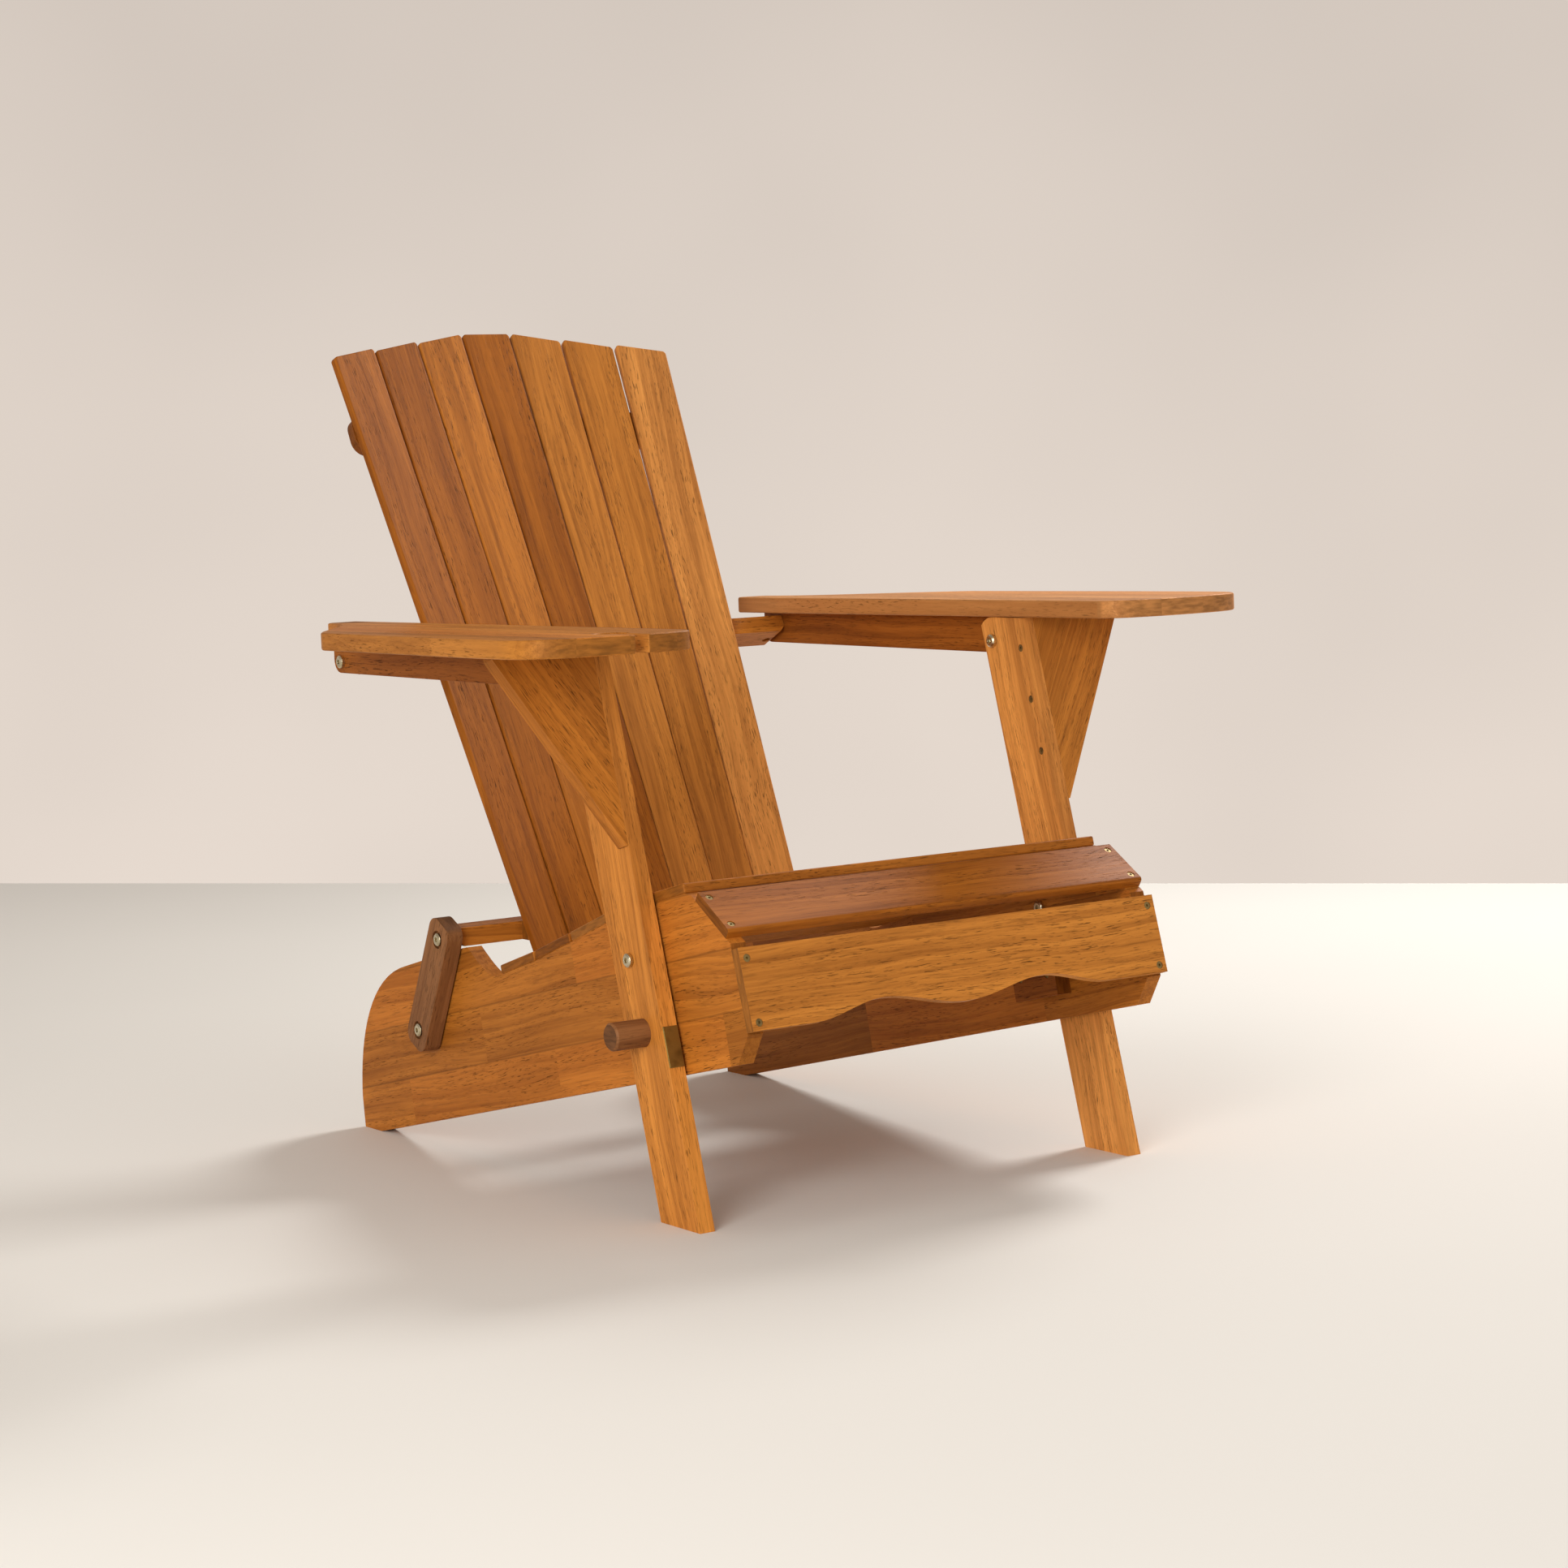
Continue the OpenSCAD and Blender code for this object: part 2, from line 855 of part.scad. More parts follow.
module link(side) {
    run = link_low - link_top;
    color([0.42, 0.24, 0.13])
        difference() {
            side_board(side, link_inner_x, link_outer_x)
                translate(link_top)
                    rotate(atan2(run[1], run[0]))
                        hull()
                            for (x = [-link_flat, norm(run) + link_flat])
                                for (y = [-link_flat, link_flat])
                                    translate([x, y])
                                        circle(link_corner);
            for (at = [link_top, link_low]) {
                side_bar(side, at, link_inner_x - over, link_outer_x + over,
                    bolt_diameter + 2 * run_gap);
                side_bar(side, at, link_outer_x - sink_deep, link_outer_x + over,
                    sink_wide);
            }
        }
}

module link_left() {
    link(left);
}

module link_right() {
    link(right);
}

// back --------------------------------------------------------------------

module in_back() {
    translate(back_base)
        rotate(back_turn)
            children();
}

// board of back slat k (-3 to 3) in the back's frame; pad widens it and
// reach adds material in front, so the same shape can cut the crosspieces
module back_board(k, pad, reach) {
    n = abs(k);
    fan = atan((high_x(k) - low_x(k)) / back_high);
    lean = atan((high_d(k) - low_d(k)) / back_high);
    inner = crown_inner[n];
    outer = crown_outer[n];
    tilt = k * slat_tilt;
    w_low = back_slat_low / 2 + pad;
    w_high = back_slat_high / 2 + pad;
    grow = (w_high - w_low) / back_high;
    foot = slat_foot - pad;
    crown_a = k < 0 ? outer : inner;
    crown_b = k < 0 ? inner : outer;
    soft = 2.5;
    top_a = back_high + crown_a;
    top_b = back_high + crown_b;
    half_a = w_low + grow * top_a;
    half_b = w_low + grow * top_b;
    translate([low_x(k), low_d(k), 0])
        rotate([-lean, fan, 0])
            rotate([0, 0, -tilt])
                translate([0, -reach, 0])
                    rotate([quarter_turn, 0, 0])
                        translate([0, 0, -back_slat_thick - reach])
                            linear_extrude(back_slat_thick + reach)
                                polygon([
                                    [-w_low - grow * foot, foot],
                                    [w_low + grow * foot, foot],
                                    [half_b, top_b - soft],
                                    [half_b - soft, top_b + soft / 4],
                                    [-half_a + soft, top_a + soft / 4],
                                    [-half_a, top_a - soft]]);
}

module back_slat(k) {
    color(k % 2 == 0 ? [0.72, 0.42, 0.2] : [0.6, 0.32, 0.14])
        in_back()
            back_board(k, 0, 0);
}

module back_slat_1() {
    back_slat(-3);
}

module back_slat_2() {
    back_slat(-2);
}

module back_slat_3() {
    back_slat(-1);
}

module back_slat_4() {
    back_slat(0);
}

module back_slat_5() {
    back_slat(1);
}

module back_slat_6() {
    back_slat(2);
}

module back_slat_7() {
    back_slat(3);
}

// everything in front of the rear faces of the slats
cut_pad = 3.5;
cut_reach = 60;
module slat_cut() {
    for (k = [-3 : 3])
        back_board(k, cut_pad, cut_reach);
}

// the batten is a bow of even thickness that follows the hollow of the back
function bow(x) = batten_end_rear + batten_bow * (1 - pow(x / batten_half, 2));
batten_steps = 12;

module upper_batten() {
    step = 2 * batten_half / batten_steps;
    color([0.5, 0.29, 0.16])
        in_back()
            difference() {
                intersection() {
                    translate([0, 0, batten_low])
                        linear_extrude(batten_high - batten_low)
                            polygon(concat(
                                [[batten_half, 0], [-batten_half, 0]],
                                [for (i = [0 : batten_steps])
                                    [-batten_half + i * step, bow(-batten_half + i * step)]]));
                    translate([0, batten_rear, 0])
                        rotate([quarter_turn, 0, 0])
                            linear_extrude(batten_rear)
                                union() {
                                    translate([-batten_half + batten_round, batten_low - over])
                                        square([2 * (batten_half - batten_round),
                                            batten_high - batten_low + 2 * over]);
                                    translate([-batten_half, batten_low + batten_round])
                                        square([2 * batten_half,
                                            batten_high - batten_low - 2 * batten_round]);
                                    for (x = [-1, 1])
                                        for (z = [batten_low + batten_round,
                                                batten_high - batten_round])
                                            translate([x * (batten_half - batten_round), z])
                                                circle(batten_round);
                                }
                }
                slat_cut();
            }
}

module middle_crosspiece() {
    color([0.66, 0.38, 0.18])
        in_back()
            difference() {
                translate([0, cross_rear, 0])
                    rotate([quarter_turn, 0, 0])
                        linear_extrude(cross_rear - cross_front)
                            polygon([
                                [-cross_half + cross_chamfer, cross_low],
                                [cross_half - cross_chamfer, cross_low],
                                [cross_half, cross_low + cross_chamfer],
                                [cross_half, cross_high],
                                [-cross_half, cross_high],
                                [-cross_half, cross_low + cross_chamfer]]);
                slat_cut();
                for (side = both_sides)
                    translate([
                        side * (cross_half - nut_from_end),
                        cross_front + 25.7,
                        cross_low - over])
                        cylinder(d = nut_diameter + 2 * fixed_gap,
                            h = cross_high - cross_low - 1 + over);
            }
}

module lower_crossbar() {
    color([0.66, 0.38, 0.18])
        difference() {
            union() {
                translate([0, bar_rear_y, 0])
                    rotate([quarter_turn, 0, 0])
                        linear_extrude(bar_rear_y - bar_front_y)
                            polygon([
                                [-bar_half + bar_chamfer, bar_under_z],
                                [bar_half - bar_chamfer, bar_under_z],
                                [bar_half, bar_under_z + bar_chamfer],
                                [bar_half, bar_top_z],
                                [-bar_half, bar_top_z],
                                [-bar_half, bar_under_z + bar_chamfer]]);
                translate([-bar_seat_half, bar_seat_y, bar_under_z])
                    cube([2 * bar_seat_half, bar_front_y - bar_seat_y + over,
                        bar_top_z - bar_under_z]);
            }
            in_back()
                slat_cut();
            for (side = both_sides)
                side_bar(side, link_top, bar_half - 31, bar_half + over,
                    bolt_diameter + 2 * fixed_gap);
        }
}

module barrel_nuts() {
    color([0.7, 0.66, 0.5])
        in_back()
            for (side = both_sides)
                translate([
                    side * (cross_half - nut_from_end),
                    cross_front + 25.7,
                    cross_low + nut_recess])
                    difference() {
                        cylinder(d = nut_diameter, h = nut_long);
                        translate([-nut_diameter, -0.6, -over])
                            cube([2 * nut_diameter, 1.2, over + 1.2]);
                    }
}

module link_upper_bolts() {
    color([0.74, 0.7, 0.55])
        for (side = both_sides)
            bolt_out(side, link_top, bar_half - 30,
                link_outer_x - sink_deep + face_gap);
}

stringer_left();
stringer_right();
seat_slat_1();
seat_slat_2();
seat_slat_3();
seat_slat_4();
seat_slat_5();
front_slat();
front_apron();
guide_block_left();
guide_block_right();
board_screw_set();
block_screw_set();
leg_pivot_bolts();
link_lower_bolts();
leg_left();
leg_right();
gusset_left();
gusset_right();
gusset_screws_left();
gusset_screws_right();
wear_plate_left();
wear_plate_right();
peg_left();
peg_right();
arm_board_left();
arm_board_right();
arm_rail_left();
arm_rail_right();
arm_bolts_left();
arm_bolts_right();
link_left();
link_right();
back_slat_1();
back_slat_2();
back_slat_3();
back_slat_4();
back_slat_5();
back_slat_6();
back_slat_7();
upper_batten();
middle_crosspiece();
lower_crossbar();
barrel_nuts();
link_upper_bolts();
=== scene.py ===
"""Looks of the folding slatted garden chair: oiled boards, dark pegs and links, metal hardware.

Lengths are in metres and angles in degrees.
"""

import math

import bpy
from mathutils import Matrix, Vector

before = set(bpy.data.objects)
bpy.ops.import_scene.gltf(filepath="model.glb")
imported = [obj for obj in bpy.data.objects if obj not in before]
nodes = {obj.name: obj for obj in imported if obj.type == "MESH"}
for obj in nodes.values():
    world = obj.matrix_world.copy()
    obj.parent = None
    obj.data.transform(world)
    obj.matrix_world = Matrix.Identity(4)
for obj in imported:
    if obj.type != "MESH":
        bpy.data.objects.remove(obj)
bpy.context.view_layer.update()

# --- directions of the boards ---------------------------------------------------------------

X = Vector((1, 0, 0))
Y = Vector((0, 1, 0))
Z = Vector((0, 0, 1))

# rise of each board in the YZ plane, measured up from +Y
STRINGER_FALL = -12.8
SEAT_FALL = -17.0
NOSE_RISE = 31.6
APRON_RISE = 73.9
LEG_RISE = 74.25
BACK_RISE = 63.8
LINK_FALL = -63.5

# lean to the side: of a gusset's fibres from its leg, and of the outermost back slats
GUSSET_SPLAY = 30.0
BACK_FAN = 3.5
MIDDLE_SLAT = 4
SLATS_TO_EDGE = 3

# --- wood tones -----------------------------------------------------------------------------

# base tones of the boards, deeper or paler from board to board, and two paler tones that are painted
# light
GOLDEN = (0.56, 0.204, 0.033)
HONEY = (0.49, 0.178, 0.028)
ORANGE = (0.44, 0.146, 0.018)
BROWN = (0.34, 0.102, 0.009)
REDDISH = (0.29, 0.084, 0.010)
LIGHT = (0.62, 0.250, 0.056)
WALNUT = (0.240, 0.098, 0.034)
# paler tones for the left leg and left arm: painted light, standing in for the stronger light on
# that side of the chair
PAINTED_LIGHT_LEG = (0.66, 0.265, 0.058)
PAINTED_LIGHT_ARM = (0.70, 0.300, 0.090)

SEAT_TONES = (ORANGE, BROWN, HONEY, BROWN, ORANGE)
BACK_TONES = (BROWN, BROWN, ORANGE, BROWN, HONEY, HONEY, LIGHT)

# --- wood figure ----------------------------------------------------------------------------

# how closely each feature repeats, along the grain and across it
DRIFT_CELLS = (2.2, 7.0)
BROAD_CELLS = (1.9, 24.0)
STREAK_CELLS = (5.0, 190.0)
FIBRE_CELLS = (30.0, 1500.0)
BAND_CELLS = (1.2, 17.0)
FLECK_CELLS = (26.0, 430.0)
PORE_CELLS = (75.0, 950.0)
GATE_CELLS = (4.0, 45.0)
RING_CELLS = (45.0, 260.0)

# noise detail and roughness
LOW_DETAIL = 2.0
STREAK_DETAIL = 5.0
STREAK_ROUGHNESS = 0.62
FIBRE_ROUGHNESS = 0.6

# how far one step of the seed moves a board through the figure: along, across, through
SEED_SHIFT = (3.17, 1.31, 0.77)
DRIFT_REACH = 0.045

BAND_SCALE = 1.1
BAND_DISTORTION = 3.2
BAND_DETAIL = 3.0
BAND_DETAIL_SCALE = 1.4

# values between which a feature fades in
CONTRAST_RANGE = (0.3, 0.7)
FLECK_RANGE = (0.54, 0.68)
PORE_RANGE = (0.59, 0.66)
GATE_RANGE = (0.36, 0.58)
RING_RANGE = (0.35, 0.65)
END_GRAIN_RANGE = (0.72, 0.92)

# share of each feature in the tone of a board
BROAD_SHARE = 0.36
STREAK_SHARE = 0.34
BAND_SHARE = 0.16
FIBRE_SHARE = 0.14

# stops of a board's ramp, and how its ends differ from the base tone in hue and level
DARK_STOP, MIDDLE_STOP, PALE_STOP = 0.14, 0.50, 0.86
SAME_HUE = (1.0, 1.0, 1.0)
DARK_HUE, DARK_LEVEL = (1.0, 0.86, 0.80), 0.48
PALE_HUE, PALE_LEVEL = (1.0, 1.08, 1.14), 1.39

# staves of a glued board: width and length, offset of the end joints, shift of the figure
STRINGER_STAVE = (0.062, 0.34)
ARM_STAVE = (0.058, 1.9)
STAVE_STAGGER = 3.0
STAVE_SHIFT_ALONG = 5.0
STAVE_SHIFT_ACROSS = 2.3

# some staves turn towards the reddish tone, and all differ in level
STAVE_TONE_RANGE = (0.55, 0.75)
STAVE_TONE_SHARE = 0.62
STAVE_TONE_MIX = 0.55
STAVE_LEVELS = (0.74, 1.26)

# the glue line, by its distance from the joint in stave widths
GLUE_RANGE = (0.006, 0.022)
GLUE_SHARE, GLUE_LEVEL = 0.5, 0.36

# dark features: share of the mix, and level of the base tone
FLECK_SHARE, FLECK_LEVEL = 0.50, 0.50
PORE_SHARE, PORE_LEVEL = 0.82, 0.24
END_LEVELS = (0.42, 0.70)

# oiled surface, rougher where the tone is dark and in the pores
WOOD_ROUGHNESS = (0.58, 0.47)
PORE_ROUGHNESS = 0.2
WOOD_SPECULAR = 0.10
WOOD_COAT = 0.02
WOOD_COAT_ROUGHNESS = 0.32
FIBRE_RELIEF, PORE_RELIEF, STREAK_RELIEF = 0.5, 0.9, 0.5
WOOD_BUMP_STRENGTH = 0.30
WOOD_BUMP_HEIGHT = 0.0005

# --- metal ----------------------------------------------------------------------------------

ZINC, ZINC_DULL = (0.66, 0.60, 0.44), (0.50, 0.42, 0.25)
BRASS, BRASS_DULL = (0.36, 0.26, 0.10), (0.20, 0.14, 0.06)
PLATE, PLATE_DULL = (0.34, 0.27, 0.085), (0.20, 0.155, 0.05)
TARNISH_RANGE = (0.4, 0.66)
TARNISH_DETAIL = 4.0
GRIT_SCALE = 1800.0
BRUSHED_SCALE = (60.0, 60.0, 4000.0)
ROUGHNESS_STEPS = (-0.07, 0.09)
METAL_BUMP_STRENGTH = 0.12
METAL_BUMP_HEIGHT = 0.0002

# --- soft edges -----------------------------------------------------------------------------

WELD_GAP = 0.00002
FLAT_ANGLE = 0.4
BEVEL_ANGLE = 28
BEVEL_SEGMENTS = 3
NORMAL_WEIGHT = 80
BOARD_EDGE = 0.0022
SLAT_EDGE = 0.002
ARM_EDGE = 0.003
GUSSET_EDGE = 0.0018
BLOCK_EDGE = 0.0015
METAL_EDGE = 0.0004

# --- floor, light and camera ----------------------------------------------------------------

FLOOR_COLOUR = (0.80, 0.785, 0.745)
FLOOR_ROUGHNESS = 0.75
FLOOR_CLOUD_SCALE = 0.7
FLOOR_CLOUD_RANGE = (0.35, 0.65)
FLOOR_CLOUD_LEVELS = (0.985, 1.01)
FLOOR_REACH = 45.0
FLOOR_DEPTH = 45.0
SEAM_MIDDLE = Vector((1.34, 1.93, 0.0))
SEAM_RUN = Vector((1.506, -1.781, 0.0)).normalized()

WALL_COLOUR = (0.783, 0.690, 0.615)
CEILING = 0.52
CEILING_RANGE = (-0.10, 0.60)
WALL_CLOUD_SCALE = 7.0
WALL_CLOUD_LEVELS = (0.955, 1.035)

KEY_COLOUR = (1.0, 0.985, 0.965)
FILL_COLOUR = (1.0, 0.98, 0.95)
KEY_AT = (2.7, 0.7, 2.6)
FILL_AT = (-3.2, -2.4, 1.5)
TOP_AT = (-0.2, -1.2, 3.2)

CAMERA_AT = Vector((-2.1653, -3.3414, 0.7813))
CAMERA_RIGHT = Vector((0.82503, -0.56405, -0.03419))
CAMERA_AHEAD = Vector((0.55914, 0.82360, -0.09509))
SENSOR = 36.0
LENS = 81.77
CLIP_END = 150.0

# --- node trees -----------------------------------------------------------------------------

# sockets of the colour mix node
MIX_FACTOR, MIX_A, MIX_B, MIX_RESULT = 0, 6, 7, 2


def shade(colour, level, hue=SAME_HUE):
    """A colour with its level and hue changed, as a socket takes it."""
    return tuple(c * h * level for c, h in zip(colour, hue)) + (1.0,)


def new_material(name):
    material = bpy.data.materials.new(name)
    material.use_nodes = True
    material.node_tree.nodes.clear()
    return material


class Net:
    """Short way to add and join nodes in one tree."""

    def __init__(self, tree):
        self.tree = tree

    def add(self, kind, **values):
        node = self.tree.nodes.new(kind)
        for key, value in values.items():
            setattr(node, key, value)
        return node

    def join(self, a, b):
        self.tree.links.new(a, b)

    def feed(self, socket, value):
        if isinstance(value, bpy.types.NodeSocket):
            self.join(value, socket)
        else:
            socket.default_value = value

    def math(self, op, a, b=0.0, clamp=False):
        node = self.add("ShaderNodeMath", operation=op, use_clamp=clamp)
        self.feed(node.inputs[0], a)
        self.feed(node.inputs[1], b)
        return node.outputs[0]

    def plus(self, a, b, clamp=False):
        return self.math("ADD", a, b, clamp)

    def times(self, a, b, clamp=False):
        return self.math("MULTIPLY", a, b, clamp)

    def dot(self, a, direction):
        node = self.add("ShaderNodeVectorMath", operation="DOT_PRODUCT")
        self.feed(node.inputs[0], a)
        node.inputs[1].default_value = direction
        return node.outputs["Value"]

    def combine(self, x, y, z):
        node = self.add("ShaderNodeCombineXYZ")
        for socket, value in zip(node.inputs, (x, y, z)):
            self.feed(socket, value)
        return node.outputs[0]

    def noise(self, vector, scale=1.0, detail=3.0, roughness=0.5):
        node = self.add("ShaderNodeTexNoise")
        self.join(vector, node.inputs["Vector"])
        node.inputs["Scale"].default_value = scale
        node.inputs["Detail"].default_value = detail
        node.inputs["Roughness"].default_value = roughness
        return node.outputs["Fac"]

    def spread(self, value, limits, to_low=0.0, to_high=1.0):
        """Map a value between two limits onto another range, clamped to it."""
        node = self.add("ShaderNodeMapRange")
        self.feed(node.inputs["Value"], value)
        node.inputs["From Min"].default_value = limits[0]
        node.inputs["From Max"].default_value = limits[1]
        node.inputs["To Min"].default_value = to_low
        node.inputs["To Max"].default_value = to_high
        return node.outputs["Result"]

    def mix(self, factor, a, b, blend="MIX"):
        node = self.add("ShaderNodeMix", data_type="RGBA", blend_type=blend)
        self.feed(node.inputs[MIX_FACTOR], factor)
        self.feed(node.inputs[MIX_A], a)
        self.feed(node.inputs[MIX_B], b)
        return node.outputs[MIX_RESULT]

    def bump(self, height, strength, distance):
        node = self.add("ShaderNodeBump")
        node.inputs["Strength"].default_value = strength
        node.inputs["Distance"].default_value = distance
        self.join(height, node.inputs["Height"])
        return node.outputs[0]

    def finish(self, shader):
        out = self.add("ShaderNodeOutputMaterial")
        self.join(shader.outputs[0], out.inputs["Surface"])


# --- wood -----------------------------------------------------------------------------------


def stretched(net, along, across, thick, cells):
    """Coordinates drawn out along the grain."""
    return net.combine(
        net.times(along, cells[0]),
        net.times(across, cells[1]),
        net.times(thick, cells[1]))


def growth_bands(net, coordinates):
    bands = net.add("ShaderNodeTexWave", wave_type="BANDS", bands_direction="Y", wave_profile="SAW")
    net.join(coordinates, bands.inputs["Vector"])
    bands.inputs["Scale"].default_value = BAND_SCALE
    bands.inputs["Distortion"].default_value = BAND_DISTORTION
    bands.inputs["Detail"].default_value = BAND_DETAIL
    bands.inputs["Detail Scale"].default_value = BAND_DETAIL_SCALE
    return bands.outputs["Fac"]


def stave_value(net, along, across, stave):
    """One value for each glued stave. The end joints are staggered from row to row."""
    width, length = stave
    row = net.math("FLOOR", net.math("DIVIDE", across, width))
    row_noise = net.add("ShaderNodeTexWhiteNoise", noise_dimensions="1D")
    net.join(row, row_noise.inputs["W"])
    stagger = net.times(row_noise.outputs["Value"], STAVE_STAGGER)
    column = net.math("FLOOR", net.plus(net.math("DIVIDE", along, length), stagger))
    stave_noise = net.add("ShaderNodeTexWhiteNoise", noise_dimensions="2D")
    net.join(net.combine(row, column, 0.0), stave_noise.inputs["Vector"])
    return stave_noise.outputs["Value"]


def board_ramp(net, tone, colour):
    """From the darkest to the palest tone of one board."""
    ramp = net.add("ShaderNodeValToRGB")
    ramp.color_ramp.interpolation = "B_SPLINE"
    stops = ramp.color_ramp.elements
    stops[0].position = DARK_STOP
    stops[0].color = shade(colour, DARK_LEVEL, DARK_HUE)
    stops[1].position = PALE_STOP
    stops[1].color = shade(colour, PALE_LEVEL, PALE_HUE)
    middle = stops.new(MIDDLE_STOP)
    middle.color = shade(colour, 1.0)
    net.join(tone, ramp.inputs[0])
    return ramp.outputs[0]


def stave_paint(net, paint, colour, value, across, width):
    """Change of tone from stave to stave, and the dark glue line between rows."""
    share = net.spread(value, STAVE_TONE_RANGE, 0.0, STAVE_TONE_SHARE)
    paint = net.mix(share, paint, net.mix(STAVE_TONE_MIX, paint, shade(REDDISH, 1.0)))
    level = net.spread(value, (0.0, 1.0), *STAVE_LEVELS)
    paint = net.mix(1.0, paint, net.combine(level, level, level), "MULTIPLY")
    edge = net.math("FRACT", net.math("DIVIDE", across, width))
    near_edge = net.math("MINIMUM", edge, net.math("SUBTRACT", 1.0, edge))
    glue = net.spread(near_edge, GLUE_RANGE, GLUE_SHARE, 0.0)
    return net.mix(glue, paint, shade(colour, GLUE_LEVEL))


def wood(name, colour, grain, face, seed, stave=None):
    """Oiled board. grain is the fibre direction, face the width direction, seed the place in
    the figure, and stave the (width, length) of the staves that a wide board is glued from."""
    material = new_material(name)
    net = Net(material.node_tree)
    fibres = Vector(grain).normalized()
    sideways = (Vector(face) - fibres * Vector(face).dot(fibres)).normalized()
    place = net.add("ShaderNodeTexCoord")
    along, across, thick = (
        net.plus(net.dot(place.outputs["Object"], way), seed * shift)
        for way, shift in zip((fibres, sideways, fibres.cross(sideways)), SEED_SHIFT))

    board_across = across
    if stave:
        value = stave_value(net, along, across, stave)
        along = net.plus(along, net.times(value, STAVE_SHIFT_ALONG))
        across = net.plus(across, net.times(value, STAVE_SHIFT_ACROSS))

    # the fibres drift slowly, and streaks, growth bands, flecks and pores follow them
    drift = net.noise(stretched(net, along, across, thick, DRIFT_CELLS), detail=LOW_DETAIL)
    bent = net.plus(across, net.times(drift, DRIFT_REACH))

    def figure(cells):
        return stretched(net, along, bent, thick, cells)

    broad = net.noise(figure(BROAD_CELLS))
    streak = net.noise(figure(STREAK_CELLS), detail=STREAK_DETAIL, roughness=STREAK_ROUGHNESS)
    fibre = net.noise(figure(FIBRE_CELLS), roughness=FIBRE_ROUGHNESS)
    bands = growth_bands(net, figure(BAND_CELLS))
    fleck = net.spread(net.noise(figure(FLECK_CELLS), roughness=FIBRE_ROUGHNESS), FLECK_RANGE)
    pore = net.spread(net.noise(figure(PORE_CELLS), detail=LOW_DETAIL), PORE_RANGE)
    gate = net.spread(net.noise(figure(GATE_CELLS), detail=LOW_DETAIL), GATE_RANGE)
    pore = net.times(pore, gate, clamp=True)

    tone = net.times(net.spread(broad, CONTRAST_RANGE), BROAD_SHARE)
    tone = net.plus(tone, net.times(net.spread(streak, CONTRAST_RANGE), STREAK_SHARE))
    tone = net.plus(tone, net.times(bands, BAND_SHARE))
    tone = net.plus(tone, net.times(fibre, FIBRE_SHARE), clamp=True)

    paint = board_ramp(net, tone, colour)
    if stave:
        paint = stave_paint(net, paint, colour, value, board_across, stave[0])
    paint = net.mix(net.times(fleck, FLECK_SHARE, clamp=True), paint, shade(colour, FLECK_LEVEL))
    paint = net.mix(net.times(pore, PORE_SHARE), paint, shade(colour, PORE_LEVEL))

    # end grain shows where the surface faces along the fibres
    facing = net.math("ABSOLUTE", net.dot(place.outputs["Normal"], fibres))
    rings = net.noise(stretched(net, bent, thick, along, RING_CELLS))
    dark_end, pale_end = (shade(colour, level) for level in END_LEVELS)
    end_paint = net.mix(net.spread(rings, RING_RANGE), dark_end, pale_end)
    paint = net.mix(net.spread(facing, END_GRAIN_RANGE), paint, end_paint)

    shader = net.add("ShaderNodeBsdfPrincipled")
    net.join(paint, shader.inputs["Base Color"])
    rough = net.spread(tone, (0.0, 1.0), *WOOD_ROUGHNESS)
    rough = net.plus(rough, net.times(pore, PORE_ROUGHNESS), clamp=True)
    net.join(rough, shader.inputs["Roughness"])
    shader.inputs["Specular IOR Level"].default_value = WOOD_SPECULAR
    shader.inputs["Coat Weight"].default_value = WOOD_COAT
    shader.inputs["Coat Roughness"].default_value = WOOD_COAT_ROUGHNESS

    height = net.math("SUBTRACT", net.times(fibre, FIBRE_RELIEF), net.times(pore, PORE_RELIEF))
    height = net.plus(height, net.times(streak, STREAK_RELIEF))
    net.join(net.bump(height, WOOD_BUMP_STRENGTH, WOOD_BUMP_HEIGHT), shader.inputs["Normal"])
    net.finish(shader)
    return material


# --- metal and floor ------------------------------------------------------------------------


def metal(name, colour, dull, rough, wear_scale, brushed=False):
    """Plated metal with a faint tarnish, brushed level or left gritty."""
    material = new_material(name)
    net = Net(material.node_tree)
    where = net.add("ShaderNodeTexCoord").outputs["Object"]
    tarnish = net.noise(where, scale=wear_scale, detail=TARNISH_DETAIL)
    paint = net.mix(net.spread(tarnish, TARNISH_RANGE), shade(colour, 1.0), shade(dull, 1.0))
    if brushed:
        scaled = [net.times(net.dot(where, way), k) for way, k in zip((X, Y, Z), BRUSHED_SCALE)]
        lines = net.noise(net.combine(*scaled), detail=LOW_DETAIL)
    else:
        lines = net.noise(where, scale=GRIT_SCALE, detail=LOW_DETAIL)
    smoothest, roughest = (rough + step for step in ROUGHNESS_STEPS)

    shader = net.add("ShaderNodeBsdfPrincipled")
    shader.inputs["Metallic"].default_value = 1.0
    net.join(paint, shader.inputs["Base Color"])
    roughness = net.spread(lines, CONTRAST_RANGE, smoothest, roughest)
    net.join(roughness, shader.inputs["Roughness"])
    net.join(net.bump(lines, METAL_BUMP_STRENGTH, METAL_BUMP_HEIGHT), shader.inputs["Normal"])
    net.finish(shader)
    return material


def floor_paint():
    """Matt floor with a faint cloud in its tone."""
    material = new_material("floor")
    net = Net(material.node_tree)
    where = net.add("ShaderNodeTexCoord").outputs["Object"]
    cloud = net.noise(where, scale=FLOOR_CLOUD_SCALE, detail=LOW_DETAIL)
    dark, pale = (shade(FLOOR_COLOUR, level) for level in FLOOR_CLOUD_LEVELS)
    paint = net.mix(net.spread(cloud, FLOOR_CLOUD_RANGE), dark, pale)
    shader = net.add("ShaderNodeBsdfPrincipled")
    net.join(paint, shader.inputs["Base Color"])
    shader.inputs["Roughness"].default_value = FLOOR_ROUGHNESS
    net.finish(shader)
    return material


# --- putting materials and soft edges on the CAD pieces -------------------------------------


def tilted(degrees):
    """A direction in the YZ plane, measured up from +Y."""
    angle = math.radians(degrees)
    return Vector((0, math.cos(angle), math.sin(angle)))


